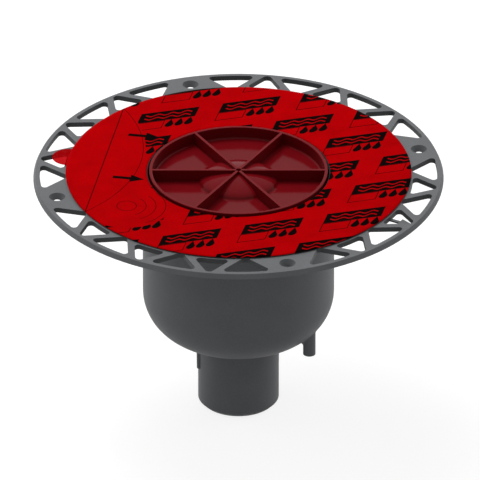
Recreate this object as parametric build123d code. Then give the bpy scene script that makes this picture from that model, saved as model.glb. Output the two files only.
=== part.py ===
from build123d import *
import os
from math import atan2, cos, radians, sin, tan

# Shower drain: a bowl with a lattice flange and a vertical outlet, closed by a ribbed plug.
# Frame: +Z up on the outlet's axis, origin at the outlet's end. The X and Y axes pass through
# the screw holes. Millimetres and degrees throughout.

# Flange
flange_d = 252.5          # at the lower edge of its tapered rim
flange_t = 3.2
rim_taper = 1.5           # the face's edge lies this far inside the lower one
edge_r = 0.3

# Lattice of the flange: straight bars run in a zigzag between two circles of nodes
band_w = 2.65             # solid band along the rim, at the face
lattice_w = 14.8          # open stretch between the band and the solid land
node_out_gap = 7.25       # outer nodes lie this far outside the band's inner edge
node_in_gap = 6.4         # inner nodes lie this far inside the land's edge
bar_w = 4.15
bar_pitch = 10.75         # from one triangle to the next
hole_corner_r = 2.2
hole_tip_r = 2.9          # tips that point to the rim
quadrants = 4
outward_per_quadrant = 4  # triangles with their base at the band

# Screw holes
screw_inset = 7.1         # screw circle inside the band's inner edge
screw_hole_d = 4.5
screw_sink_d = 10.0

# Pointer arrow, a thin web flush with the underside in one triangle
arrow_angle = -45.0
arrow_t = 1.0
arrow_stem_w = 2.2
arrow_head_w = 7.6
arrow_stem_l = 6.4        # from the land's edge to the head
arrow_sink = 3.1          # the tip ends this far inside the band

# Bowl, whose depth follows from the trap and the plug inside it
bowl_d = 118.0
wall = 3.2
bowl_flat_w = 5.7         # flat ring of the underside, from the outlet to the rounded corner
collar_h = 12.0           # thicker stretch under the flange, round the seal groove
collar_slope_h = 10.0
collar_blend_r = 6.0
collar_fillet_r = 3.0

# Outlet, a DN 50 spigot
outlet_d = 50.0
outlet_wall = 2.9
outlet_l = 49.8           # outlet's end to the bowl's underside
outlet_draft = 0.3        # growth of the radius above the true cylinder
outlet_chamfer_w = 2.1
outlet_chamfer_h = 2.2
outlet_fillet_r = 3.0
drain_mouth_r = 4.0

# Peg under the bowl and lug beside the outlet
peg_angle = arrow_angle
peg_d = 7.7
peg_inset = 8.6           # the peg's axis inside the bowl's wall
peg_drop = 3.6            # below the bowl's underside
peg_fillet_r = 2.0
lug_angle = 180.0
lug_drop = 24.5           # below the bowl's underside
lug_gap = 1.1             # lug to the outlet's true cylinder
lug_top_r = 2.0
lug_tip_r = 1.6

# Seal groove in the bore
groove_from_face = 3.0
groove_h = 7.0
groove_depth = 2.6

# Lip seals, one in the groove and one on the trap's funnel
seal_play = 0.1
seal_edge_r = 0.3
seal_lips = 2
lip_root_t = 2.2
lip_edge_t = 1.2
lip_edge_r = 0.2
inlet_lip_lean = -0.5     # the lip's edge above its root
inlet_lip_gap = 0.35      # lip to the plug's wall
trap_lip_lean = 1.5
trap_lip_gap = 0.3        # lip to the bore

# Plug
plug_gap = 0.9            # all round, from the plug's rim to the bore
plug_proud = 2.2          # rim above the flange face
plug_h = 13.2
plug_rim_w = 2.0
plug_rim_r = 0.4
plug_foot_r = 0.3
plug_draft = 0.6
plug_floor_t = 2.0
plug_floor_depth = 7.9    # rim to the pan's flat floor
plug_pan_fillet_r = 1.5
plug_under_fillet_r = 1.0
plug_dome_r = 24.5
plug_dome_drop = 1.9      # rim to the dome's top
plug_dome_foot_r = 2.5
plug_ribs = 6
plug_rib_w = 1.7
plug_rib_angle = -15.0
plug_pit_d = 3.2
plug_pit_depth = 4.4
plug_boss_d = 8.0
plug_boss_h = 4.0

# Sealing compound, film and tab on the flange
film_inset = 1.1          # film's edge inside the land's edge
film_t = 0.2
film_back = 0.6           # film's inner edge behind the bore
compound_t = 0.8
compound_inset = 0.3
tab_d = 20.0
tab_t = 0.2
tab_angle = 155.0

# Odour trap: a funnel with a dip tube, a lip seal round it and a cup under it
water_seal = 50.0
rib_count = 8
rib_w = 2.2
rib_reach = 4.0           # from the bowl's wall inwards
rib_angle = 22.5
trap_edge_r = 0.5
channel_h = 8.0           # between the funnel's two flanges
channel_depth = 1.0
funnel_flange_t = 2.2
funnel_wall = 2.0
funnel_floor_t = 2.6      # measured upright
funnel_gap = 1.5          # all round, from the funnel's flanges to the bore
funnel_rise = 5.4
funnel_fillet_r = 3.0
dip_gap = 16.2            # all round, between dip tube and cup
dip_wall = 2.0
cup_gap = 13.8            # all round, between cup and bowl
cup_foot_gap = 7.3        # between the cup and the bowl's floor
cup_wall = 1.8
cup_corner_r = 12.0
cup_floor_gap = 10.0      # dip tube to the cup's floor
cup_hang = 14.5           # funnel's seat to the cup's rim
snap_count = 3
snap_angle = 90.0
snap_gap = 0.3
snap_drop = 7.5           # funnel's seat to the top of each snap lug
snap_tab_t = 1.8
snap_tab_arc = 20.0
snap_tab_tail = 0.5       # tab below its lug
snap_lug_reach = 2.2
snap_lug_h = 2.5
snap_lug_arc = 10.0
snap_arm_t = 2.2
snap_arm_arc = 18.0
snap_arm_lap = 12.0       # arm's foot below the cup's rim
snap_arm_head = 3.2       # arm above its window
snap_window_h_play = 0.6
snap_window_arc_play = 1.0
grip_reach = 9.0          # from the dip tube's wall to the grip's outer side
grip_t = 3.2
grip_w = 5.0
grip_fillet_r = 2.0
grip_drop = 1.5           # funnel's rim to the grip's top

cut = 1.0                 # cutters run this far past a face

# Worked out from the sizes above
flange_r = flange_d / 2
face_r = flange_r - rim_taper
band_in_r = face_r - band_w
land_r = band_in_r - lattice_w
node_out_r = band_in_r + node_out_gap
node_in_r = land_r - node_in_gap
screw_circle_r = band_in_r - screw_inset
film_r = land_r - film_inset
outlet_r = outlet_d / 2
outlet_bore_r = outlet_r - outlet_wall
bowl_r = bowl_d / 2
bowl_corner_r = bowl_r - outlet_r - bowl_flat_w
bore_r = bowl_r - wall
groove_r = bore_r + groove_depth
collar_r = groove_r + wall
plug_r = bore_r - plug_gap
plug_foot_side_r = plug_r - plug_draft
funnel_r = bore_r - funnel_gap
channel_r = funnel_r - channel_depth
funnel_bore_r = channel_r - funnel_wall
cup_r = bore_r - cup_gap
dip_r = cup_r - cup_wall - dip_gap
bowl_z = outlet_l
floor_z = bowl_z + wall
cup_low_z = floor_z + cup_foot_gap
cup_floor_z = cup_low_z + cup_wall
dip_end_z = cup_floor_z + cup_floor_gap
cup_rim_z = dip_end_z + water_seal
funnel_seat_z = cup_rim_z + cup_hang
funnel_low_z = funnel_seat_z - funnel_rise
channel_low_z = funnel_seat_z + funnel_flange_t
channel_top_z = channel_low_z + channel_h
funnel_rim_z = channel_top_z + funnel_flange_t
plug_foot_z = funnel_rim_z
plug_top_z = plug_foot_z + plug_h
plug_floor_z = plug_top_z - plug_floor_depth
plug_dome_h = plug_floor_depth - plug_dome_drop
flange_z = plug_top_z - plug_proud
under_z = flange_z - flange_t
compound_top_z = flange_z + compound_t
groove_top_z = flange_z - groove_from_face
groove_low_z = groove_top_z - groove_h
snap_arm_r = cup_r - snap_gap
snap_tab_r = snap_arm_r - snap_gap
snap_lug_z = funnel_seat_z - snap_drop


def turned(*corners, arc=360.0):
    """A ring turned about Z from corners of (radius, height, corner radius)."""
    path = FilletPolyline([(r, z) for r, z, _ in corners], radius=[c for _, _, c in corners], close=True)
    return revolve(Plane.XZ * make_face(path), Axis.Z, arc)


def sector(r_in, r_out, z_low, z_high, middle, arc):
    """A curved block between two radii, centred on one angle."""
    block = turned((r_in, z_low, 0), (r_out, z_low, 0), (r_out, z_high, 0), (r_in, z_high, 0), arc=arc)
    return Rot(0, 0, middle - arc / 2) * block


def around(shape, count, start, step):
    """Copies of a shape turned about Z."""
    return [Rot(0, 0, start + step * i) * shape for i in range(count)]


def rounded(face, sharpest, tip_r):
    """The face with one corner rounded to tip_r and all others to hole_corner_r."""
    place = sharpest.center()
    face = fillet(sharpest, tip_r)
    blunt = [v for v in face.vertices() if (v.center() - place).length > tip_r * 2 + hole_corner_r]
    return fillet(blunt, hole_corner_r)


def lattice_holes():
    """The triangles between the bars, as cutters through the flange."""
    pitch = radians(bar_pitch)
    out_x = node_out_r * sin(pitch)
    out_y = node_out_r * cos(pitch)
    lean_out = atan2(out_x, out_y - node_in_r)
    lean_in = lean_out - pitch
    tip_in = node_in_r + bar_w / 2 / sin(lean_out)
    tip_out = node_out_r - bar_w / 2 / sin(lean_in)

    far = (flange_r - tip_in) * tan(lean_out)
    base_out = Polygon((0, tip_in), (far, flange_r), (-far, flange_r), align=None) & Circle(band_in_r)
    base_out = rounded(base_out, base_out.vertices().sort_by(Axis.Y)[0], hole_corner_r)
    near = (tip_out - node_in_r) * tan(lean_in)
    base_in = Polygon((0, tip_out), (-near, node_in_r), (near, node_in_r), align=None) - Circle(land_r)
    base_in = rounded(base_in, base_in.vertices().sort_by(Axis.Y)[-1], hole_tip_r)

    holes = []
    for q in range(quadrants):
        middle = 360 / quadrants * (q + 0.5) - 90
        for face, count in ((base_out, outward_per_quadrant), (base_in, outward_per_quadrant - 1)):
            cutter = Pos(0, 0, under_z - cut) * extrude(face, flange_t + 2 * cut)
            holes += around(cutter, count, middle - (count - 1) * bar_pitch, 2 * bar_pitch)
    return holes


def screw_holes():
    """Countersunk holes on one circle, one between each two stretches of lattice."""
    low = (Align.CENTER, Align.CENTER, Align.MIN)
    sink_h = (screw_sink_d - screw_hole_d) / 2
    through = Pos(0, 0, under_z - cut) * Cylinder(screw_hole_d / 2, flange_t + 2 * cut, align=low)
    sink = Pos(0, 0, flange_z - sink_h) * Cone(screw_hole_d / 2, screw_sink_d / 2, sink_h, align=low)
    return around(Pos(screw_circle_r, 0, 0) * (through + sink), quadrants, 0, 360 / quadrants)


def pointer_arrow():
    """The thin arrow that points outwards in one triangle."""
    tip = band_in_r + arrow_sink
    head = land_r + arrow_stem_l
    root = land_r - arrow_stem_w
    half = arrow_head_w / 2
    stem = arrow_stem_w / 2
    outline = Polygon((root, -stem), (head, -stem), (head, -half), (tip, 0), (head, half), (head, stem),
                      (root, stem), align=None)
    return Rot(0, 0, arrow_angle) * Pos(0, 0, under_z) * extrude(outline, arrow_t)


def drain_body():
    """The moulded body: flange, bowl, outlet, peg and lug, with ribs inside that carry the trap."""
    low = (Align.CENTER, Align.CENTER, Align.MIN)
    lug_z = bowl_z - lug_drop
    blank = turned(
        (0, 0, 0), (outlet_r - outlet_chamfer_w, 0, 0), (outlet_r, outlet_chamfer_h, 0),
        (outlet_r, lug_z - lug_gap, 0), (outlet_r + outlet_draft, bowl_z, outlet_fillet_r),
        (bowl_r, bowl_z, bowl_corner_r), (bowl_r, under_z - collar_h - collar_slope_h, collar_blend_r),
        (collar_r, under_z - collar_h, collar_blend_r), (collar_r, under_z, collar_fillet_r),
        (flange_r, under_z, edge_r), (face_r, flange_z, edge_r), (0, flange_z, 0))
    cavity = turned(
        (0, -cut, 0), (outlet_bore_r, -cut, 0), (outlet_bore_r, floor_z, drain_mouth_r),
        (bore_r, floor_z, bowl_corner_r - wall), (bore_r, groove_low_z, 0), (groove_r, groove_low_z, 0),
        (groove_r, groove_top_z, 0), (bore_r, groove_top_z, 0), (bore_r, flange_z + cut, 0),
        (0, flange_z + cut, 0))

    peg = Rot(0, 0, peg_angle) * Pos(bowl_r - peg_inset, 0, bowl_z - peg_drop) * Cylinder(
        peg_d / 2, bowl_corner_r + peg_drop, align=low)
    body = blank + peg
    root = body.edges().filter_by(lambda e: e.geom_type not in (GeomType.CIRCLE, GeomType.LINE))
    body = fillet(root, peg_fillet_r)

    body += Rot(0, 0, lug_angle) * Pos(outlet_r, 0, lug_z) * Cone(
        lug_tip_r, lug_top_r, lug_drop + wall / 2, align=low)

    rib = Pos(bore_r - rib_reach, 0, floor_z) * Box(
        rib_reach + wall / 2, rib_w, funnel_seat_z - floor_z, align=(Align.MIN, Align.CENTER, Align.MIN))
    ribs = [r & blank for r in around(rib, rib_count, rib_angle, 360 / rib_count)]

    body -= cavity
    body += ribs
    body -= lattice_holes() + screw_holes()
    body += pointer_arrow()
    return body


def lip_seal(foot_r, back_r, lip_r, low_z, top_z, lean):
    """A ring with a flat foot at foot_r and lips that reach from back_r to lip_r."""
    pitch = (top_z - low_z) / seal_lips
    corners = [(foot_r, low_z, seal_edge_r), (back_r, low_z, 0)]
    for i in range(seal_lips):
        root = low_z + pitch * i + (pitch - lip_root_t) / 2
        edge = root + lean
        corners += [(back_r, root, 0), (lip_r, edge, lip_edge_r), (lip_r, edge + lip_edge_t, lip_edge_r),
                    (back_r, root + lip_root_t, 0)]
    return turned(*corners, (back_r, top_z, 0), (foot_r, top_z, seal_edge_r))


def inlet_seal():
    """The seal in the bore's groove, whose lips lean on the plug and later on the grate's frame."""
    lip_r = plug_r - plug_draft / 2 + inlet_lip_gap
    return lip_seal(groove_r - seal_play, bore_r + seal_play, lip_r,
                    groove_low_z + seal_play, groove_top_z - seal_play, inlet_lip_lean)


def pull_tab():
    """The round tab half under the film's edge, where a finger lifts the film."""
    return Rot(0, 0, tab_angle) * Pos(film_r, 0, compound_top_z) * Cylinder(
        tab_d / 2, tab_t, align=(Align.CENTER, Align.CENTER, Align.MAX))


def adhesive_ring():
    """Soft sealing compound on the flange, pressed in a little where the tab lies."""
    inner = bore_r + film_back - compound_inset
    outer = film_r - compound_inset
    ring = turned((inner, flange_z, 0), (outer, flange_z, 0), (outer, compound_top_z, 0),
                  (inner, compound_top_z, 0))
    return ring - pull_tab()


def release_film():
    """The printed film over the compound."""
    low = compound_top_z
    top = low + film_t
    inner = bore_r + film_back
    return turned((inner, low, 0), (film_r, low, 0), (film_r, top, 0), (inner, top, 0))


def protective_plug():
    """A pan with a domed middle and ribs, pushed into the bore."""
    pan_r = plug_r - plug_rim_w
    inner_foot_r = plug_foot_side_r - plug_rim_w
    low = plug_floor_z - plug_floor_t
    under_r = plug_dome_r - plug_floor_t
    wall_line = FilletPolyline(
        (plug_dome_r, plug_floor_z), (pan_r, plug_floor_z), (pan_r, plug_top_z), (plug_r, plug_top_z),
        (plug_foot_side_r, plug_foot_z), (inner_foot_r, plug_foot_z), (inner_foot_r, low), (under_r, low),
        radius=[plug_pan_fillet_r, plug_rim_r, plug_rim_r, plug_foot_r, plug_foot_r, plug_under_fillet_r])
    over = EllipticalCenterArc((0, plug_floor_z), plug_dome_r, plug_dome_h)
    under = EllipticalCenterArc((0, low), under_r, plug_dome_h)
    middle = Line((0, plug_floor_z + plug_dome_h), (0, low + plug_dome_h))
    section = make_face([wall_line, over, middle, under])
    foot = section.vertices().sort_by_distance((plug_dome_r, plug_floor_z))[0]
    pan = revolve(Plane.XZ * fillet(foot, plug_dome_foot_r), Axis.Z)

    # The ribs fill the pan from the middle of its floor up to its rim
    above = plug_top_z + plug_floor_t
    hull_line = Polyline((under_r, low), (plug_foot_side_r, low), (plug_r, above), (0, above),
                         (0, low + plug_dome_h))
    hull = Pos(0, 0, plug_floor_t / 2) * revolve(Plane.XZ * make_face([hull_line, under]), Axis.Z)
    rib_h = plug_floor_depth + plug_floor_t
    rib = Pos(0, 0, plug_top_z) * Box(inner_foot_r + plug_rim_w / 2, plug_rib_w, rib_h,
                                      align=(Align.MIN, Align.CENTER, Align.MAX))
    ribs = [r & hull for r in around(rib, plug_ribs, plug_rib_angle, 360 / plug_ribs)]

    high = (Align.CENTER, Align.CENTER, Align.MAX)
    boss = Pos(0, 0, plug_floor_z + plug_dome_h - plug_floor_t / 2) * Cylinder(
        plug_boss_d / 2, plug_boss_h, align=high)
    pit = Pos(0, 0, plug_top_z) * Cone(plug_pit_d / 4, plug_pit_d / 2, plug_pit_depth, align=high)
    return pan + ribs + boss - pit


def funnel_mid_z(r):
    """Height of the middle of the funnel's sloping floor at a radius."""
    return funnel_low_z + funnel_rise * (r - dip_r) / (funnel_bore_r - dip_r) + funnel_floor_t / 2


def trap_tube():
    """Funnel with a dip tube, two flanges for its seal, snap tabs for the cup and a grip."""
    throat = dip_r - dip_wall
    body = turned(
        (throat, dip_end_z, 0), (dip_r, dip_end_z, trap_edge_r), (dip_r, funnel_low_z, funnel_fillet_r),
        (funnel_bore_r, funnel_seat_z, funnel_fillet_r), (funnel_r, funnel_seat_z, trap_edge_r),
        (funnel_r, channel_low_z, trap_edge_r), (channel_r, channel_low_z, 0), (channel_r, channel_top_z, 0),
        (funnel_r, channel_top_z, trap_edge_r), (funnel_r, funnel_rim_z, trap_edge_r),
        (funnel_bore_r, funnel_rim_z, trap_edge_r),
        (funnel_bore_r, funnel_seat_z + funnel_floor_t, funnel_fillet_r),
        (throat, funnel_low_z + funnel_floor_t, funnel_fillet_r))

    tab_low = snap_lug_z - snap_lug_h - snap_tab_tail
    tab = sector(snap_tab_r - snap_tab_t, snap_tab_r, tab_low, funnel_mid_z(snap_tab_r - snap_tab_t),
                 snap_angle, snap_tab_arc)
    lug = sector(snap_tab_r - snap_tab_t / 2, snap_tab_r + snap_lug_reach,
                 snap_lug_z - snap_lug_h, snap_lug_z, snap_angle, snap_lug_arc)
    body += around(tab + lug, snap_count, 0, 360 / snap_count)

    high = funnel_rim_z - grip_drop
    half = dip_r + grip_reach
    foot = funnel_mid_z(half - grip_t / 2)
    outer_r = grip_fillet_r + grip_t
    bow = FilletPolyline(
        (-half, foot), (-half, high), (half, high), (half, foot), (half - grip_t, foot),
        (half - grip_t, high - grip_t), (grip_t - half, high - grip_t), (grip_t - half, foot),
        radius=[0, outer_r, outer_r, 0, 0, grip_fillet_r, grip_fillet_r, 0], close=True)
    body += extrude(Plane.XZ * make_face(bow), grip_w / 2, both=True)
    return body


def trap_seal():
    """The seal in the funnel's channel, whose lips lean on the bowl's wall."""
    return lip_seal(channel_r + seal_play, funnel_r, bore_r - trap_lip_gap,
                    channel_low_z + seal_play, channel_top_z - seal_play, trap_lip_lean)


def trap_cup():
    """The cup that holds the water seal, with arms that snap over the funnel's lugs."""
    inner = cup_r - cup_wall
    cup = turned((0, cup_low_z, 0), (cup_r, cup_low_z, cup_corner_r), (cup_r, cup_rim_z, trap_edge_r),
                 (inner, cup_rim_z, trap_edge_r), (inner, cup_floor_z, cup_corner_r - cup_wall),
                 (0, cup_floor_z, 0))
    arm = sector(snap_arm_r, snap_arm_r + snap_arm_t, cup_rim_z - snap_arm_lap, snap_lug_z + snap_arm_head,
                 snap_angle, snap_arm_arc)
    window = sector(snap_arm_r - cut, snap_arm_r + snap_arm_t + cut,
                    snap_lug_z - snap_lug_h - snap_window_h_play, snap_lug_z,
                    snap_angle, snap_lug_arc + 2 * snap_window_arc_play)
    return cup + around(arm - window, snap_count, 0, 360 / snap_count)


nodes = {
    "drain_body": drain_body(),
    "inlet_seal": inlet_seal(),
    "adhesive_ring": adhesive_ring(),
    "release_film": release_film(),
    "pull_tab": pull_tab(),
    "protective_plug": protective_plug(),
    "trap_tube": trap_tube(),
    "trap_seal": trap_seal(),
    "trap_cup": trap_cup(),
}

os.makedirs("parts", exist_ok=True)
for name, shape in nodes.items():
    export_step(shape, f"parts/{name}.step")
    print(name, len(shape.solids()), "solid", round(shape.volume / 1000, 1), "cm3")
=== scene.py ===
# %% [markdown]
# # A shower drain, dressed for its picture
#
# The object is a floor drain as it comes out of its box. A grey moulded body has a lattice flange that
# the floor's mortar grips, a bowl and a pipe end. A ring of sticky compound lies on the flange under a red
# film, and a red plug closes the mouth until the floor is laid.
#
# The CAD model already holds every piece at its real size, so nothing here moves or resizes one. This
# notebook gives each piece the surface that its material has, remakes the film as the thin sheet it is
# and the compound as the soft bead it is, and sets up a camera, a floor and lamps as for a catalogue.

# %% Load the frame
from math import cos, pi, radians, sin

import bmesh
import bpy
from mathutils import Matrix, Vector, noise


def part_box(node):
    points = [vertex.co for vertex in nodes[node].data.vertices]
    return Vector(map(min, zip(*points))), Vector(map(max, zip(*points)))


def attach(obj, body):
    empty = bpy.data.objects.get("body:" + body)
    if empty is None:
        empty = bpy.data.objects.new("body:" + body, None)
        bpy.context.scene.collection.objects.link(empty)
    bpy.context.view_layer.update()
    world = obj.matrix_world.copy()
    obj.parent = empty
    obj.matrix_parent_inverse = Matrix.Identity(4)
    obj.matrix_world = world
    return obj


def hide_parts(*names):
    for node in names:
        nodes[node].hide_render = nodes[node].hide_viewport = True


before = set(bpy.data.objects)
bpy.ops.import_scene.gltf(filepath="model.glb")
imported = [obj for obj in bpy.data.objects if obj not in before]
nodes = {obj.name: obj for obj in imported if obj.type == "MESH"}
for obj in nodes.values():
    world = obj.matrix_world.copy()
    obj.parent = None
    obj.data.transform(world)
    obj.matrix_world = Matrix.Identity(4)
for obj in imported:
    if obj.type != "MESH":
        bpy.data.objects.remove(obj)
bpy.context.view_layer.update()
mm = 0.001                   # the scene's unit is the metre

# %% [markdown]
# ## Camera
#
# Catalogue pictures of such parts are drawn without perspective. A very long lens, far away, gives the
# same look and is still a camera that can walk round the object. The picture's width at the object gives
# the distance, and the camera's three axes come from two angles.

# %% Camera
azimuth = radians(-15)
elevation = radians(29.8)
lens_mm = 1200.0
sensor_mm = 36.0
picture_px = 480
px_per_mm = 1.628

picture_width = picture_px / px_per_mm * mm
distance = picture_width * lens_mm / sensor_mm
backward = Vector((sin(azimuth) * cos(elevation), -cos(azimuth) * cos(elevation), sin(elevation)))
rightward = Vector((cos(azimuth), sin(azimuth), 0))
upward = backward.cross(rightward)

flange_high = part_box("drain_body")[1]
face_centre = Vector((0, 0, flange_high.z))
face_centre_px = Vector((238.5, 172.8))
shift = (Vector((picture_px, picture_px)) / 2 - face_centre_px) / px_per_mm * mm
look_at = face_centre + shift.x * rightward - shift.y * upward

camera = bpy.data.objects.new("camera", bpy.data.cameras.new("camera"))
camera.data.lens = lens_mm
camera.data.sensor_width = sensor_mm
camera.data.clip_start = 0.01
camera.data.clip_end = 30
place = look_at + distance * backward
camera.matrix_world = Matrix.Translation(place) @ Matrix((rightward, upward, backward)).transposed().to_4x4()
bpy.context.scene.collection.objects.link(camera)
bpy.context.scene.camera = camera
bpy.context.scene.view_settings.view_transform = "Standard"
print("camera", round(distance, 2), "m away")

# %% [markdown]
# ## A socket that works like a number
#
# A finish needs sums over the surface, such as the distance to a printed line, and every sum is a Math
# node. Written by hand, a formula of ten terms is thirty lines of nodes and links. This class wraps a
# node's output, so that Python's own operators add the Math nodes.

# %% Socket as a number
class Value:
    """One output of a shader node. An operator on it adds the Math node that does the sum."""

    def __init__(self, graph, socket):
        self.graph = graph
        self.socket = socket

    def math(self, operation, *others):
        """The Math node of this operation, with this output as its first input."""
        return self.graph.node("Math", {"operation": operation}, dict(enumerate((self, *others))))

    def __add__(self, other):
        return self.math("ADD", other)

    def __sub__(self, other):
        return self.math("SUBTRACT", other)

    def __rsub__(self, other):
        return self.math("MULTIPLY_ADD", -1.0, other)

    def __mul__(self, other):
        return self.math("MULTIPLY", other)

    def __mod__(self, other):
        return self.math("FLOORED_MODULO", other)

    def __abs__(self):
        return self.math("ABSOLUTE")

    __radd__ = __add__
    __rmul__ = __mul__


print("a socket takes +, -, *, % and abs")

# %% [markdown]
# ## A node tree
#
# Every shader node is made in the same three steps. It is added, its settings are set, because some of them
# change its sockets, and its sockets then get values or links. One method does that for any node. The
# others are recipes that several finishes share: the place in millimetres, noise, a mix of two colours, a
# ramp, a bump, a mask for upright walls, and the surface itself.

# %% Node tree
class Graph:
    """A node tree, with one method that adds any shader node to it."""

    def __init__(self, tree):
        self.tree = tree
        tree.nodes.clear()

    def node(self, kind, settings, sockets, out=0):
        """A new node's output, picked by number or name, or None for a node that has no output."""
        made = self.tree.nodes.new("ShaderNode" + kind)
        for name, setting in settings.items():
            setattr(made, name, setting)
        for name, value in sockets.items():
            if isinstance(value, Value):
                self.tree.links.new(value.socket, made.inputs[name])
            else:
                made.inputs[name].default_value = value
        return Value(self, made.outputs[out]) if made.outputs else None

    def millimetres(self):
        """The point of the object that is being shaded, in mm."""
        metres = self.node("TexCoord", {}, {}, "Object")
        return self.node("Mapping", {}, {"Vector": metres, "Scale": (1 / mm,) * 3})

    def parts(self, vector):
        """The x, y and z of a vector, each as a number."""
        first = self.node("SeparateXYZ", {}, {"Vector": vector})
        return [Value(self, socket) for socket in first.socket.node.outputs]

    def clouds(self, vector, size, detail=2.0):
        """Soft spots of about one size in mm, from 0 to 1."""
        return self.node("TexNoise", {}, {"Vector": vector, "Scale": 1 / size, "Detail": detail})

    def between(self, share, low, high):
        """A colour that goes from low to high as the share goes from 0 to 1."""
        low, high = [(*colour, 1) if isinstance(colour, tuple) else colour for colour in (low, high)]
        # A Mix node takes its colours at inputs 6 and 7 and gives the mixed one at output 2.
        return self.node("Mix", {"data_type": "RGBA"}, {0: share, 6: low, 7: high}, out=2)

    def ramp(self, value, start, end):
        """0 at start and before it, 1 at end and past it, and in proportion between them."""
        return self.node("MapRange", {}, {"Value": value, "From Min": start, "From Max": end})

    def bump(self, height, depth_mm, over=None):
        """A normal from a height of 0 to 1 that stands for a depth."""
        sockets = {"Height": height, "Distance": depth_mm * mm}
        if over:
            sockets["Normal"] = over
        return self.node("Bump", {}, sockets)

    def steep(self):
        """1 on upright walls and 0 on level faces, from the surface's own normal."""
        _, _, upward_share = self.parts(self.node("TexCoord", {}, {}, "Normal"))
        return self.ramp(1 - abs(upward_share), start=0.05, end=0.35)

    def surface(self, sockets):
        """The material's surface, a Principled shader with these sockets."""
        shader = self.node("BsdfPrincipled", {}, sockets)
        self.node("OutputMaterial", {}, {"Surface": shader})


print("recipes:", *[name for name in vars(Graph) if not name.startswith("_")])

# %% [markdown]
# ## Materials on nodes
#
# A CAD node comes with a plain material of its own. A finish starts as a new material with an empty node
# tree, and when it is done it takes the plain one's place on each node that is made of it.

# %% Material helpers
def new_material(name):
    """An empty material and its node tree."""
    material = bpy.data.materials.new(name)
    material.use_nodes = True
    return material, Graph(material.node_tree)


def cover(material, *names):
    """These CAD nodes get the material in place of their plain one."""
    for name in names:
        nodes[name].data.materials.clear()
        nodes[name].data.materials.append(material)
    print(material.name, "on", *names)


print("plain so far:", *nodes)

# %% [markdown]
# ## Floor and world
#
# The picture's ground is white, and the object is lit plainly. A floor as bright as paper would throw
# that light back up under the bowl and flatten it. So the floor is a mid grey for the light, and for the
# rays that look at it, straight or in a mirror, it glows a little as well and comes out white. A shadow
# darkens only the grey, so the object still stands on it. The paper is clear from below, so that the
# pipe's end and the flange's underside can be looked at too. The world does the same as the floor: a soft
# grey light, and white where it is looked at.

# %% Floor and world
floor_radius = 2.5
floor_grey = 0.32
floor_glow = 0.82
sky_light = 0.4
white = (1, 1, 1, 1)


def looked_at(graph):
    """1 for a ray from the camera, or one that was mirrored or went through glass."""
    path = "LightPath"
    straight = graph.node(path, {}, {}, "Is Camera Ray")
    mirrored = graph.node(path, {}, {}, "Is Glossy Ray")
    through = graph.node(path, {}, {}, "Is Transmission Ray")
    return straight.math("MAXIMUM", mirrored).math("MAXIMUM", through)


def floor_material():
    material, g = new_material("floor_paper")
    grey = g.node("BsdfDiffuse", {}, {"Color": (floor_grey, floor_grey, floor_grey, 1)})
    glow = g.node("Emission", {}, {"Color": white, "Strength": looked_at(g) * floor_glow})
    paper = g.node("AddShader", {}, {0: grey, 1: glow})
    clear = g.node("BsdfTransparent", {}, {"Color": white})
    from_below = g.node("NewGeometry", {}, {}, "Backfacing")
    g.node("OutputMaterial", {}, {"Surface": g.node("MixShader", {}, {0: from_below, 1: paper, 2: clear})})
    return material


bm = bmesh.new()
bmesh.ops.create_circle(bm, cap_ends=True, segments=128, radius=floor_radius)
floor = bpy.data.objects.new("floor", bpy.data.meshes.new("floor"))
bm.to_mesh(floor.data)
bm.free()
floor.data.materials.append(floor_material())
bpy.context.scene.collection.objects.link(floor)

world = bpy.data.worlds.new("world")
world.use_nodes = True
bpy.context.scene.world = world
sky = Graph(world.node_tree)
soft = sky.node("Background", {}, {"Color": white, "Strength": sky_light})
bright = sky.node("Background", {}, {"Color": white, "Strength": 1.0})
sky.node("OutputWorld", {}, {"Surface": sky.node("MixShader", {}, {0: looked_at(sky), 1: soft, 2: bright})})
print("floor", floor_radius, "m in radius")

# %% [markdown]
# ## Lamps
#
# Three large soft lamps stand where a photographer would put soft boxes. One hangs overhead and a little
# behind the object: it lights the flange and the film, and leaves every wall that faces the camera dark,
# so the lattice and the plug's ribs read clearly. One on each side draws a lighter edge down the round
# bowl. The front gets no lamp, so the bowl's middle stays darkest.

# %% Lamps
def soft_box(name, bearing, height, away, size, watts):
    """A square lamp that faces the flange, at a bearing from the camera in degrees."""
    turn = azimuth + radians(bearing)
    lamp = bpy.data.objects.new(name, bpy.data.lights.new(name, "AREA"))
    lamp.data.size = size
    lamp.data.energy = watts
    lamp.location = Vector((sin(turn) * away, -cos(turn) * away, height))
    lamp.rotation_mode = "QUATERNION"
    lamp.rotation_quaternion = (face_centre - lamp.location).to_track_quat("-Z", "Y")
    lamp.visible_camera = False
    lamp.visible_glossy = False
    bpy.context.scene.collection.objects.link(lamp)


soft_box("lamp_top", bearing=-145, height=1.7, away=0.8, size=0.9, watts=17)
soft_box("lamp_left", bearing=-115, height=0.55, away=1.4, size=0.9, watts=3.4)
soft_box("lamp_right", bearing=115, height=0.55, away=1.4, size=0.9, watts=3.4)
print("three lamps")
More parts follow.
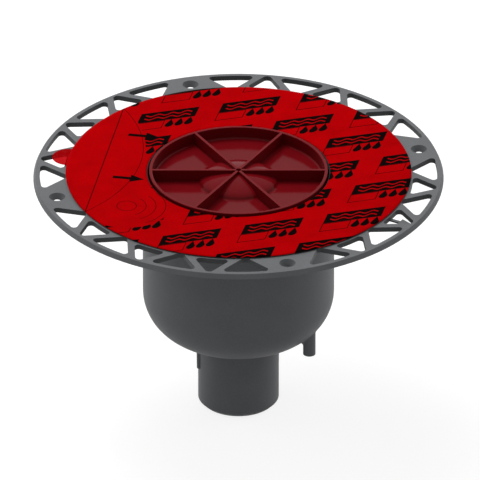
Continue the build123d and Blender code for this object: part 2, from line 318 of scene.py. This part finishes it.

# %% [markdown]
# ## Body plastic
#
# The body is moulded in a stiff grey plastic. The mould's wall is spark-eroded, which leaves a grain far
# finer than a millimetre, and the plastic cools unevenly, which leaves slow patches in its sheen. Two
# noise fields in the object's own coordinates make both. A picture wrapped round the body would need
# seams, and it would blur when the camera comes near. A Bevel node rounds the normals along the edges of
# the lattice, because no moulding leaves its mould with a knife edge.
#
# The walls of the lattice and of the screw holes get a darker grey than the faces, without the grain's
# colour: painted shade that stands in for the shade deep inside the holes. The surface's own normal
# tells wall from face: its upward share is one on a face, or minus one below, and nothing on a wall.

# %% Body plastic
edge_mm = 0.25               # radius of the lattice's edges
flange_t_mm = 3.3            # from the flange's face to just past its underside
rim_w_mm = 3.0               # the rim, which keeps its grain
deep_grey = (0.095, 0.1, 0.106)
pale_grey = (0.205, 0.21, 0.218)
# painted shade: the darker grey that the walls inside the flange get in place of the grained one
painted_shade_grey = (0.066, 0.068, 0.071)


def point_distance(u, v):
    """How far a place is from where u and v are both zero."""
    return (u * u + v * v).math("SQRT")


def painted_wall_shade(g, point):
    """Where the painted shade goes: 1 on the walls inside the flange and 0 on its faces, its rim and
    everything below.
    """
    x, y, z = g.parts(point)
    in_rim = point_distance(x, y).math("LESS_THAN", flange_high.x / mm - rim_w_mm)
    in_flange = z.math("GREATER_THAN", flange_high.z / mm - flange_t_mm)
    return g.steep() * in_rim * in_flange


def body_plastic():
    material, g = new_material("body_plastic")
    point = g.millimetres()
    patches = g.clouds(point, size=26.0)
    grain = g.clouds(point, size=0.6, detail=3.0)
    grained = g.between(0.4 * patches + 0.6 * grain, deep_grey, pale_grey)
    edges = g.node("Bevel", {"samples": 6}, {"Radius": edge_mm * mm})
    g.surface({
        # the walls inside the flange get the painted shade grey
        "Base Color": g.between(painted_wall_shade(g, point), grained, painted_shade_grey),
        "Roughness": 0.5 + 0.12 * patches,
        "Specular IOR Level": 0.22,
        "Normal": g.bump(grain, depth_mm=0.03, over=edges),
    })
    return material


cover(body_plastic(), "drain_body")

# %% [markdown]
# ## The film's print
#
# The film is printed in black on red. A shader draws the print best as distances: each shape is a
# formula that is negative inside it and positive outside, so the smaller of two distances joins two
# shapes, and the larger of one and minus the other cuts one out of the other. The ink is where the last
# distance is below zero.

# %% Distances
def box_distance(u, v, half_u, half_v):
    """A rectangle round the place where u and v are both zero."""
    return (abs(u) - half_u).math("MAXIMUM", abs(v) - half_v)


def drop_distance(u, v, r):
    """A water drop: a disc with two tangents that meet above it."""
    tip = 2.3 * r
    rise = r / tip
    run = (1 - rise * rise) ** 0.5
    disc = point_distance(u, v) - r
    cone = (abs(u) * run + v * rise - r).math("MAXIMUM", rise * r - v)
    return disc.math("MINIMUM", cone)


def ink(distance, soft_mm=0.15):
    """1 inside a shape and 0 outside, with a soft edge."""
    return distance.graph.ramp(distance, start=soft_mm / 2, end=-soft_mm / 2)


print("distance fields ready")

# %% [markdown]
# ### Labels
#
# The labels are a made-up sign for water: a slanted bar with waves cut out of it, and drops beside a thin
# frame. They repeat in rows like bricks. A coordinate's remainder after dividing by the pitch is the place
# inside one label, and every second row is shifted by half a pitch, so one drawing serves for all of them.

# %% Labels
label_pitch = 52.0
row_pitch = 30.0
label_half_w = 18.5
slant = 0.55                 # sideways lean for each mm up
line_w = 0.55
bar_up = 4.4                 # from the label's middle to the bar's
bar_half_h = 5.4
wave_ups = (-1.9, 1.7)       # from the bar's middle
wave_h = 0.9
wave_turn = 0.7              # radians for each mm along
wave_half_w = 0.55
wave_margin = 3.5            # from the waves' ends to the bar's
frame_middle = (-9.5, -5.6)
frame_half = (8.8, 4.2)
drops_along = (3.6, 9.8, 16.0)
drops_up = -7.0
drop_r = 2.7


def label_distance(u, v):
    """One label: a slanted bar with waves, a thin frame under it and three drops beside that."""
    lean = u - slant * v
    bar_v = v - bar_up
    bar = box_distance(lean, bar_v, label_half_w, bar_half_h)
    for up in wave_ups:
        wave = abs(bar_v - up - wave_h * (lean * wave_turn).math("SINE")) - wave_half_w
        wave = wave.math("MAXIMUM", abs(lean) - (label_half_w - wave_margin))
        bar = bar.math("MAXIMUM", 0 - wave)
    frame_u, frame_v = lean - frame_middle[0], v - frame_middle[1]
    label = bar.math("MINIMUM", abs(box_distance(frame_u, frame_v, *frame_half)) - line_w / 2)
    for place in drops_along:
        label = label.math("MINIMUM", drop_distance(lean - place, v - drops_up, drop_r))
    return label


def label_rows(x, y):
    """The labels all over the plane, in rows like bricks."""
    row = (y * (1 / row_pitch)).math("FLOOR")
    u = (x + (row % 2) * (label_pitch / 2)) % label_pitch - label_pitch / 2
    v = y % row_pitch - row_pitch / 2
    return label_distance(u, v)


print("labels every", label_pitch, "mm in rows of", row_pitch, "mm")

# %% [markdown]
# ### Arrows and pull sign
#
# These don't repeat in rows, so each is drawn round a place of its own, with two coordinates. The first
# runs outwards, from the drain's middle towards the tab, and the second runs square to it.

# %% Arrows and pull sign
stem_half_l = 6.8
stem_half_w = 1.5
stem_out = 3.0               # from the arrow's middle to the stem's
head_out = -1.0              # from the arrow's middle to the head's base
tip_out = -9.8               # from the arrow's middle to its tip
head_slope = 2.0             # the head's length over half its width
sign_ring_r = 6.0
sign_arc_rs = (12.0, 18.0, 24.0)
fan_half_w = 2.0             # at the ring's middle
fan_slope = 1.1              # what it gains at each side for each mm inwards
thin_line_w = line_w * 2 / 3


def arrow_distance(out, along):
    """A plain arrow that points inwards."""
    stem = box_distance(out - stem_out, along, stem_half_l, stem_half_w)
    head = (abs(along) * head_slope - out + tip_out).math("MAXIMUM", out - head_out)
    return stem.math("MINIMUM", head)


def pull_sign(out, along):
    """A ring for the tab and three arcs, cut off by the sides of a fan that opens inwards."""
    from_ring = point_distance(out, along)
    sign = abs(from_ring - sign_ring_r)
    fan = abs(along) + out * fan_slope - fan_half_w
    for r in sign_arc_rs:
        sign = sign.math("MINIMUM", abs(from_ring - r).math("MAXIMUM", fan))
    return sign - thin_line_w / 2


print("an arrow of", round(stem_out + stem_half_l - tip_out, 1), "mm")

# %% [markdown]
# ### The printed film
#
# Near the tab the film peels off as a segment. A line marks its fold, an arc shows where the folded
# segment would lie, and two arrows point the way. No label is printed on the segment, on the place where
# it would lie, or round the pull sign. The red varies from spot to spot, as a thin film's does over dark
# putty, and the ink is a little smoother than the film round it. The camera sees the film at a low angle,
# where even a dull sheet mirrors the white ground and turns pale, so its specular level is close to nothing.

# %% Red film
tab_angle = radians(155)
film_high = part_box("release_film")[1]
film_r = film_high.x / mm
fold_at = 0.788 * film_r     # from the drain's middle to the fold
arc_margin = 1.5             # from the arc to the nearest ink
sign_place = (60.0, -54.0)   # outwards and along
sign_clear_r = 27.0
arrows_out = 65.0
arrows_along = (33.5, -20.0)
deep_red = (0.27, 0.0, 0.001)
bright_red = (0.64, 0.0, 0.002)
ink_black = (0.003, 0.0005, 0.0005)


def print_distance(x, y):
    """Everything that is printed on the film."""
    out = x * cos(tab_angle) + y * sin(tab_angle)
    along = x * sin(tab_angle) - y * cos(tab_angle)
    segment = point_distance(out - 2 * fold_at, along) - film_r
    sign_out, sign_along = out - sign_place[0], along - sign_place[1]
    bare = (arc_margin - segment).math("MAXIMUM", sign_clear_r - point_distance(sign_out, sign_along))
    fold = abs(out - fold_at) - line_w / 2
    arc = abs(segment).math("MAXIMUM", out - fold_at) - thin_line_w / 2

    shape = label_rows(x, y).math("MAXIMUM", bare)
    for mark in (fold, arc, pull_sign(sign_out, sign_along)):
        shape = shape.math("MINIMUM", mark)
    for place in arrows_along:
        shape = shape.math("MINIMUM", arrow_distance(out - arrows_out, along - place))
    return shape


def red_film():
    material, g = new_material("red_film")
    point = g.millimetres()
    x, y, _ = g.parts(point)
    printed = ink(print_distance(x, y))
    patches = g.clouds(point, size=12.0, detail=5.0)
    shade = 0.55 * patches + 0.45 * g.clouds(point, size=1.3, detail=3.0)
    dye = g.between(shade, deep_red, bright_red)
    g.surface({
        "Base Color": g.between(printed, dye, ink_black),
        "Roughness": 0.55 - 0.1 * printed,
        "Specular IOR Level": 0.004,
        "Normal": g.bump(patches, depth_mm=0.12),
    })
    return material


red_film_material = red_film()
print("print for a film of", round(film_r, 1), "mm in radius")

# %% [markdown]
# ### The film as a sheet
#
# A real film doesn't lie like glass: it bridges the dips of the putty under it and keeps faint waves from
# the roll. A filled circle could be bent, but it has no points between its middle and its rim until it is
# cut up. Here one straight row of short edges, from the inner edge to the outer one, is spun round the
# axis, so the faces are even and the hole is there from the start. A smooth noise then moves each point up
# or down a little. The outer edge sags over the end of the putty, except where it lies on the tab. The
# solidify operator gives the sheet its thickness last, downwards from its face.

# %% Film sheet
def spun_ring(profile, steps, closed=False):
    """A bmesh from points of (radius, height), joined in a row and spun round Z."""
    bm = bmesh.new()
    row = [bm.verts.new((r, 0, z)) for r, z in profile]
    edges = [bm.edges.new(pair) for pair in zip(row, row[1:] + row[:1] if closed else row[1:])]
    bmesh.ops.spin(bm, geom=row + edges, cent=(0, 0, 0), axis=(0, 0, 1), angle=2 * pi, steps=steps,
                   use_merge=True)
    bmesh.ops.remove_doubles(bm, verts=bm.verts, dist=1e-7)
    bmesh.ops.recalc_face_normals(bm, faces=bm.faces)
    return bm


def as_piece(name, bm, material, node):
    """An object from a bmesh that stands for a CAD node and rides where that node does."""
    mesh = bpy.data.meshes.new(name)
    bm.to_mesh(mesh)
    bm.free()
    for face in mesh.polygons:
        face.use_smooth = True
    mesh.materials.append(material)
    piece = bpy.data.objects.new(name, mesh)
    bpy.context.scene.collection.objects.link(piece)
    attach(piece, "drain")
    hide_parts(node)
    return piece


def even_steps(start, end, count):
    """The values from start to end, in this many even steps."""
    return [start + (end - start) * i / count for i in range(count + 1)]


film_gap = 1.5 * mm          # from the plug's rim to the film
film_sheet_t = 0.14 * mm
film_wave_size = 22 * mm
film_wave_h = 0.1 * mm
sag_w = 2 * mm
sag_h = 0.08 * mm
sag_to_tab = 1 * mm
film_rings = 30
ring_steps = 240
film_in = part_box("protective_plug")[1].x + film_gap
tab_low, tab_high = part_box("pull_tab")
tab_middle = (tab_low + tab_high) / 2
tab_r = (tab_high.x - tab_low.x) / 2

bm = spun_ring([(r, film_high.z) for r in even_steps(film_in, film_high.x, film_rings)], ring_steps)
if sum(face.normal.z for face in bm.faces) < 0:
    bmesh.ops.reverse_faces(bm, faces=bm.faces)
for vert in bm.verts:
    wave = noise.noise(vert.co / film_wave_size) * film_wave_h
    on_tab = (vert.co - tab_middle).xy.length < tab_r + sag_to_tab
    near_edge = max(0.0, 1 - (film_high.x - vert.co.xy.length) / sag_w)
    sag = 0.0 if on_tab else near_edge ** 2 * sag_h
    vert.co.z += wave - sag
bmesh.ops.solidify(bm, geom=bm.faces, thickness=film_sheet_t)
film_sheet = as_piece("film_sheet", bm, red_film_material, "release_film")
print("film sheet:", len(film_sheet.data.polygons), "faces")

# %% [markdown]
# ## Sealing compound and rubber
#
# The compound under the film is a soft, almost black putty, and the two lip seals are black rubber. Both
# are dark enough that only their sheen tells them apart: the putty is dull and uneven, the rubber satin.

# %% Compound and rubber
def dark_soft(name, low, high, rough, lump_mm, depth_mm):
    """A dark soft material whose colour, sheen and height all follow the same lumps."""
    material, g = new_material(name)
    lumps = g.clouds(g.millimetres(), size=lump_mm, detail=3.0)
    g.surface({
        "Base Color": g.between(lumps, low, high),
        "Roughness": rough + 0.15 * lumps,
        "Specular IOR Level": 0.15,
        "Normal": g.bump(lumps, depth_mm),
    })
    return material


compound = dark_soft("sealing_compound", low=(0.008, 0.012, 0.013), high=(0.018, 0.024, 0.026),
                     rough=0.5, lump_mm=1.6, depth_mm=0.08)
rubber = dark_soft("seal_rubber", low=(0.012, 0.012, 0.012), high=(0.022, 0.022, 0.023),
                   rough=0.42, lump_mm=0.7, depth_mm=0.02)
cover(rubber, "inlet_seal", "trap_seal")

# %% [markdown]
# ### The putty's squeezed edge
#
# The compound is laid on as a soft bead and pressed flat by the film, so both its edges bulge and wander a
# little. The section is a closed row of points, flat below and above and full at both sides, spun round the
# axis. Noise then moves the edges in and out. The tab is pressed into the putty, so the putty's top lies
# lower there.

# %% Putty ring
putty_low, putty_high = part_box("adhesive_ring")
putty_shows = 0.55 * mm      # how far it comes out of the film's hole
putty_back = 0.15 * mm       # from the film's outer edge to the putty's
putty_down = 0.02 * mm       # under the CAD ring's top
putty_rings = 24
bulge = 0.2 * mm
side_low, side_high = 0.3, 0.7   # where the sides are full, as shares of the height
wander_size = 7 * mm
wander_w = 0.15 * mm
dent_to_tab = 0.5 * mm
dent_below_tab = 0.05 * mm

putty_in = film_in - putty_shows
putty_out = film_high.x - putty_back
height = putty_high.z - putty_low.z - putty_down
top = putty_low.z + height
lower_side, upper_side = putty_low.z + side_low * height, putty_low.z + side_high * height
bottom_row = [(putty_in + bulge, putty_low.z), (putty_out - bulge, putty_low.z)]
top_row = [(r, top) for r in even_steps(putty_out - bulge, putty_in + bulge, putty_rings)]
outer_side = [(putty_out, lower_side), (putty_out, upper_side)]
inner_side = [(putty_in, upper_side), (putty_in, lower_side)]
bm = spun_ring(bottom_row + outer_side + top_row + inner_side, ring_steps, closed=True)
for vert in bm.verts:
    reach = vert.co.xy.length
    if not putty_in + bulge / 2 <= reach <= putty_out - bulge / 2:
        vert.co.xy *= 1 + noise.noise(vert.co / wander_size) * wander_w / reach
    if (vert.co - tab_middle).xy.length < tab_r + dent_to_tab and vert.co.z > putty_low.z + height / 2:
        vert.co.z = min(vert.co.z, tab_low.z - dent_below_tab)
putty = as_piece("putty_ring", bm, compound, "adhesive_ring")
print("putty ring:", len(putty.data.polygons), "faces")

# %% [markdown]
# ## Pull tab
#
# The tab is a disc of see-through red film. Light that goes through it is tinted, so the tab looks deep red
# over the grey flange and lighter over white. A red surface mixed with a transparent shader of a lighter
# red does that. A glass shader would also bend the light, and a film this thin doesn't.

# %% Pull tab
tab_cover = 0.5              # how much of the tab acts as a surface and not as a filter
tab_tint = (0.85, 0.16, 0.18, 1)


def tab_film():
    material, g = new_material("tab_film")
    clouds = g.clouds(g.millimetres(), size=6.0)
    sheet = g.node("BsdfPrincipled", {}, {
        "Base Color": g.between(clouds, (0.5, 0.0, 0.002), (0.58, 0.001, 0.004)),
        "Roughness": 0.3 + 0.1 * clouds,
        "Specular IOR Level": 0.012,
        "Normal": g.bump(clouds, depth_mm=0.05),
    })
    clear = g.node("BsdfTransparent", {}, {"Color": tab_tint})
    g.node("OutputMaterial", {}, {"Surface": g.node("MixShader", {}, {0: tab_cover, 1: clear, 2: sheet})})
    return material


cover(tab_film(), "pull_tab")

# %% [markdown]
# ## Plug plastic
#
# The plug is a throw-away moulding in dark red plastic with a polished face, so its floor mirrors the
# ribs and the light above. A low roughness gives that, and slow waves in the surface bend the
# reflections a little, as sink marks over ribs do. The upright walls get a slightly darker red than the
# level faces: painted shade, which makes them look deeper than the lamps alone make them.

# %% Plug plastic
def plug_plastic():
    material, g = new_material("plug_plastic")
    point = g.millimetres()
    patches = g.clouds(point, size=14.0)
    fine = g.clouds(point, size=0.9, detail=3.0)
    level_red = g.between(patches, (0.165, 0.003, 0.006), (0.2, 0.005, 0.009))
    # painted shade on the upright walls
    painted_shade_red = (0.125, 0.002, 0.004)
    g.surface({
        "Base Color": g.between(g.steep(), level_red, painted_shade_red),
        "Roughness": 0.1 + 0.06 * patches,
        "Specular IOR Level": 0.06,
        "Normal": g.bump(fine, depth_mm=0.003, over=g.bump(patches, depth_mm=0.05)),
    })
    return material


cover(plug_plastic(), "protective_plug")

# %% [markdown]
# ## Trap plastic
#
# The odour trap sits in the bowl and shows when the plug is pulled. It is a plain light grey moulding,
# finer than the body's because it has to be wiped clean.

# %% Trap plastic
def trap_plastic():
    material, g = new_material("trap_plastic")
    point = g.millimetres()
    patches = g.clouds(point, size=18.0)
    grain = g.clouds(point, size=0.6, detail=3.0)
    g.surface({
        "Base Color": g.between(patches, (0.42, 0.43, 0.44), (0.48, 0.49, 0.5)),
        "Roughness": 0.32 + 0.12 * patches,
        "Normal": g.bump(grain, depth_mm=0.012),
    })
    return material


cover(trap_plastic(), "trap_tube", "trap_cup")

# %% [markdown]
